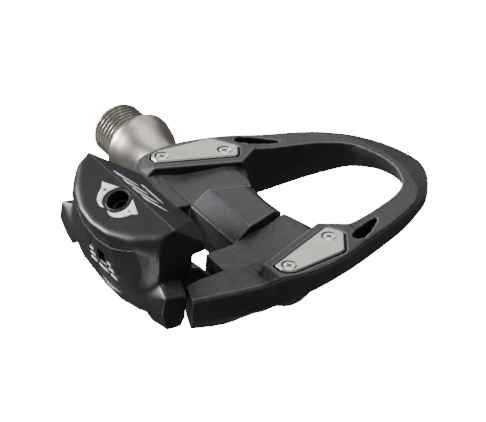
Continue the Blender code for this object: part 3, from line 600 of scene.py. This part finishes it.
def make_roof_prints(tree, materials):
    """Arrows and signs round the adjusting hole, and plain slanted bars on the front face."""
    to_world, inward = roof_point()
    prints = decal("turn_arrows", [crescent(1), crescent(-1)], to_world, inward, tree)
    finished(prints, materials["ink"], "binding")
    half, thick = 0.58, 0.14
    signs = [
        bar(0.34, 5.25, half, thick),
        bar(0.34, 5.25, thick, half),
        bar(0.18, -5.4, thick, half),
    ]
    marks = decal("turn_signs", signs, to_world, inward, tree, 0.16)
    finished(marks, materials["recess"], "binding")
    to_world, inward = roof_point(front=True)
    stripes = [
        [(1.8, y), (4.9, y - 6.2), (4.9, y - 7.2), (1.8, y - 2.2)] for y in (10.2, 6.07, 1.93, -2.2)
    ]
    stripes.append(bar(6.65, 0.0, 0.25, 4.6))
    finished(decal("front_stripes", stripes, to_world, inward, tree), materials["ink"], "binding")


def make_rear_prints(tree, materials):
    """The tension scale beside its window, the hollow's floor as a dark sheet of painted shade, and the
    raised moulding line, painted paler as a highlight.
    """

    def to_world(across, height):
        return place(-60.0, across, height)

    inward = Vector((1.0, 0.0, 0.0))
    dashes = []
    for row, (inner, outer) in enumerate(((3.0, 4.7), (3.0, 5.2), (3.0, 5.8))):
        height = 11.1 - 1.9 * row
        for sign in (1, -1):
            dashes.append([
                (sign * inner, height), (sign * outer, height),
                (sign * outer, height + 0.5), (sign * inner, height + 0.5),
            ])  # fmt: skip
    dashes.append([(-2.1, 7.3), (2.1, 7.3), (2.1, 7.85), (-2.1, 7.85)])
    scale = decal("tension_scale", dashes, to_world, inward, tree, 0.2)
    finished(scale, materials["ink"], "binding")
    outline = [oval(step / OVAL_POINTS, 0.15) for step in range(OVAL_POINTS)]
    # A dark sheet laid on the hollow's floor: painted shade.
    floor = decal("oval_floor_painted_shade", [outline], to_world, inward, tree)
    finished(floor, materials["recess"], "binding")
    line = []
    for step in range(-PARTING_STEPS, PARTING_STEPS):
        pair = [PARTING_HALF * (step + offset) / PARTING_STEPS for offset in (0, 1)]
        heights = [PARTING_Z + PARTING_RISE * (y / PARTING_HALF) ** 2 for y in pair]
        line.append([
            (pair[0], heights[0]), (pair[1], heights[1]),
            (pair[1], heights[1] + PARTING_WIDTH), (pair[0], heights[0] + PARTING_WIDTH),
        ])  # fmt: skip
    # The moulding line is a thin raised ridge, painted paler as a highlight.
    ridge = decal("parting_line", line, to_world, inward, tree, 0.12)
    finished(ridge, materials["edge"], "binding")


def make_hole_rim(materials):
    """The thin raised ring round the adjusting hole."""
    origin, down, out = roof_frame()
    shape = bmesh.new()
    profile = [
        (HOLE_R + grow, height)
        for grow, height in ((0.02, -0.6), (0.02, 0.02), (0.12, 0.1), (0.3, 0.1), (0.42, -0.1), (0.42, -0.6))
    ]
    rings = []
    turns = 64
    across = Vector((0.0, 1.0, 0.0))
    for step in range(turns):
        angle = 2 * math.pi * step / turns
        spoke = down * math.cos(angle) + across * math.sin(angle)
        rings.append([shape.verts.new(place(*(origin + spoke * r + out * h))) for r, h in profile])
    for ring, following in zip(rings, rings[1:] + rings[:1]):
        for index in range(len(profile)):
            after = (index + 1) % len(profile)
            shape.faces.new((ring[index], following[index], following[after], ring[after]))
    rim = add_mesh("hole_rim", shape)
    rim.data.shade_smooth()
    finished(rim, materials["binding"], "binding")


# Spindle --------------------------------------------------------------------------
def thread_radius(along, angle):
    """Radius of the helical crank thread at a place along the axis and an angle."""
    phase = (along / THREAD_PITCH - angle / (2 * math.pi)) % 1.0
    flank = min(1.0, max(0.0, 2.6 * (0.5 - abs(phase - 0.5)) - 0.15))
    fade = min(1.0, (THREAD_END - 0.35 - along) / 1.0, (along - THREAD_START) / 0.8)
    return THREAD_ROOT_R + (THREAD_R - THREAD_ROOT_R) * flank * max(0.0, fade)


def make_spindle(materials):
    turns = 128
    rows = [(None, THREAD_END - 0.5)]
    steps = 150
    for step in range(steps + 1):
        rows.append((None, THREAD_END - 0.5 - (THREAD_END - 0.5 - THREAD_START) * step / steps))
    rows += list(SPINDLE_PROFILE)
    rows = [(5.9, THREAD_END), *rows]
    shape = bmesh.new()
    rings = []
    for radius, along in rows:
        ring = []
        for step in range(turns):
            angle = 2 * math.pi * step / turns
            reach = thread_radius(along, angle) if radius is None else radius
            spot = Vector((reach * math.cos(angle), along, reach * math.sin(angle)))
            ring.append(shape.verts.new(spot * MM))
        rings.append(ring)
    for ring, following in zip(rings[:-1], rings[1:]):
        for index in range(turns):
            after = (index + 1) % turns
            shape.faces.new((ring[index], following[index], following[after], ring[after]))
    shape.faces.new(rings[0])
    shape.faces.new(rings[-1][::-1])
    spindle = add_mesh("turned_spindle", shape)
    socket = bmesh.new()
    corner = HEX_ACROSS_FLATS / math.sqrt(3.0) * MM
    bmesh.ops.create_cone(
        socket,
        cap_ends=True,
        segments=6,
        radius1=corner,
        radius2=corner,
        depth=2 * HEX_DEPTH * MM,
        matrix=Matrix.Translation((0.0, THREAD_END * MM, 0.0)) @ Matrix.Rotation(math.pi / 2, 4, "X"),
    )
    combine(spindle, [add_mesh("socket_tool", socket)], "DIFFERENCE")
    spindle.data.shade_smooth()
    spindle.data.set_sharp_from_angle(angle=math.radians(35))
    finished(spindle, materials["spindle"], "spindle", "spindle")


def dress_nodes(materials):
    """Better materials on the CAD nodes that stay."""
    looks = {
        "bearing_cone": "bright_steel",
        "cone_lock_nut": "steel",
        "axle_sleeve": "nylon",
        "dust_seal": "rubber",
        "bearing_tube": "steel",
        "inner_bearing_cup": "bright_steel",
        "outer_bearing_cup": "bright_steel",
        "inner_ball_ring": "bright_steel",
        "outer_ball_ring": "bright_steel",
        "hinge_pin": "dark_steel",
        "tension_bolt": "dark_steel",
        "tension_nut": "steel",
        "tension_indicator": "steel",
        "tension_spring_inner": "steel",
        "tension_spring_outer": "steel",
    }
    for node, look in looks.items():
        assign(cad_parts[node], materials[look])
    for node in ("tension_bolt", "tension_nut", "tension_indicator", "axle_sleeve", "cone_lock_nut"):
        round_edges(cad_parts[node], 0.12)


# Stage ----------------------------------------------------------------------------
def camera_axes():
    azimuth, elevation, roll = map(math.radians, (CAMERA_AZIMUTH, CAMERA_ELEVATION, CAMERA_ROLL))
    flat = math.cos(elevation)
    ahead = Vector((math.sin(azimuth) * flat, math.cos(azimuth) * flat, -math.sin(elevation)))
    level = Vector((math.cos(azimuth), -math.sin(azimuth), 0.0))
    above = level.cross(ahead)
    right = level * math.cos(roll) + above * math.sin(roll)
    return right, right.cross(ahead), ahead


def make_camera():
    right, above, ahead = camera_axes()
    camera = bpy.data.objects.new("camera", bpy.data.cameras.new("camera"))
    bpy.context.scene.collection.objects.link(camera)
    camera.data.lens = LENS
    camera.data.sensor_width = 36.0
    camera.data.sensor_fit = "HORIZONTAL"
    camera.data.clip_start = 0.01
    camera.data.clip_end = 10.0
    turn = Matrix((right, above, -ahead)).transposed().to_4x4()
    camera.matrix_world = Matrix.Translation(place(*AIM) - ahead * CAMERA_DISTANCE * MM) @ turn
    bpy.context.scene.camera = camera


def make_floor():
    """A plain white floor. It's lit evenly, and it doesn't light the pedal from below."""
    shape = bmesh.new()
    bmesh.ops.create_grid(shape, x_segments=1, y_segments=1, size=6.0)
    floor = add_mesh("floor", shape)
    floor.location = (0.0, 0.0, FLOOR_Z * MM)
    white = bpy.data.materials.new("white_floor")
    white.use_nodes = True
    nodes = white.node_tree.nodes
    shader = nodes["Principled BSDF"]
    shader.inputs["Base Color"].default_value = (0.9, 0.9, 0.9, 1.0)
    shader.inputs["Emission Color"].default_value = (1.0, 1.0, 1.0, 1.0)
    shader.inputs["Emission Strength"].default_value = BACKDROP_STRENGTH
    floor.data.materials.append(white)
    floor.visible_diffuse = False
    floor.visible_glossy = False
    floor.visible_shadow = False


def make_softbox(name, direction, distance, size, power):
    """An area light that faces the pedal from a direction."""
    light = bpy.data.lights.new(name, "AREA")
    light.shape = "RECTANGLE"
    light.size, light.size_y = (value * MM for value in size)
    light.energy = power
    obj = bpy.data.objects.new(name, light)
    bpy.context.scene.collection.objects.link(obj)
    away = Vector(direction).normalized()
    obj.location = place(*AIM) + away * distance * MM
    obj.rotation_mode = "QUATERNION"
    obj.rotation_quaternion = away.to_track_quat("Z", "Y")
    obj.visible_camera = False


def make_lights():
    world = bpy.data.worlds.new("studio")
    world.use_nodes = True
    nodes, links = world.node_tree.nodes, world.node_tree.links
    fill = nodes["Background"]
    fill.inputs["Color"].default_value = (1.0, 1.0, 1.0, 1.0)
    fill.inputs["Strength"].default_value = 0.16
    backdrop = nodes.new("ShaderNodeBackground")
    backdrop.inputs["Color"].default_value = (1.0, 1.0, 1.0, 1.0)
    backdrop.inputs["Strength"].default_value = BACKDROP_STRENGTH
    path = nodes.new("ShaderNodeLightPath")
    mix = nodes.new("ShaderNodeMixShader")
    links.new(path.outputs["Is Camera Ray"], mix.inputs[0])
    links.new(fill.outputs[0], mix.inputs[1])
    links.new(backdrop.outputs[0], mix.inputs[2])
    links.new(mix.outputs[0], nodes["World Output"].inputs["Surface"])
    bpy.context.scene.world = world
    make_softbox("top_box", (0.1, 0.1, 1.0), 500.0, (450.0, 450.0), 2.3)
    make_softbox("back_box", (0.5, 0.68, 0.6), 600.0, (380.0, 280.0), 0.65)
    make_softbox("rim_strip", (-0.68, 0.675, 0.3), 550.0, (230.0, 170.0), 7.2)
    make_softbox("low_card", (-0.8, -0.25, -0.55), 500.0, (160.0, 160.0), 0.6)


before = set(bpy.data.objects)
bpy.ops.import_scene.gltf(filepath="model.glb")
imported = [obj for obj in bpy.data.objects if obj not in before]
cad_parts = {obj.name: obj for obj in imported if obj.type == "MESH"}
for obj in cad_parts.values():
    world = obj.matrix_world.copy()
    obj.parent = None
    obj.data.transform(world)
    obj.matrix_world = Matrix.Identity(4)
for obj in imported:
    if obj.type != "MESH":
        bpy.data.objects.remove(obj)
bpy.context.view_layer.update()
make_camera()
materials = make_materials()
make_body(materials)
make_plates(materials)
make_binding(materials)
make_spindle(materials)
dress_nodes(materials)
make_floor()
make_lights()
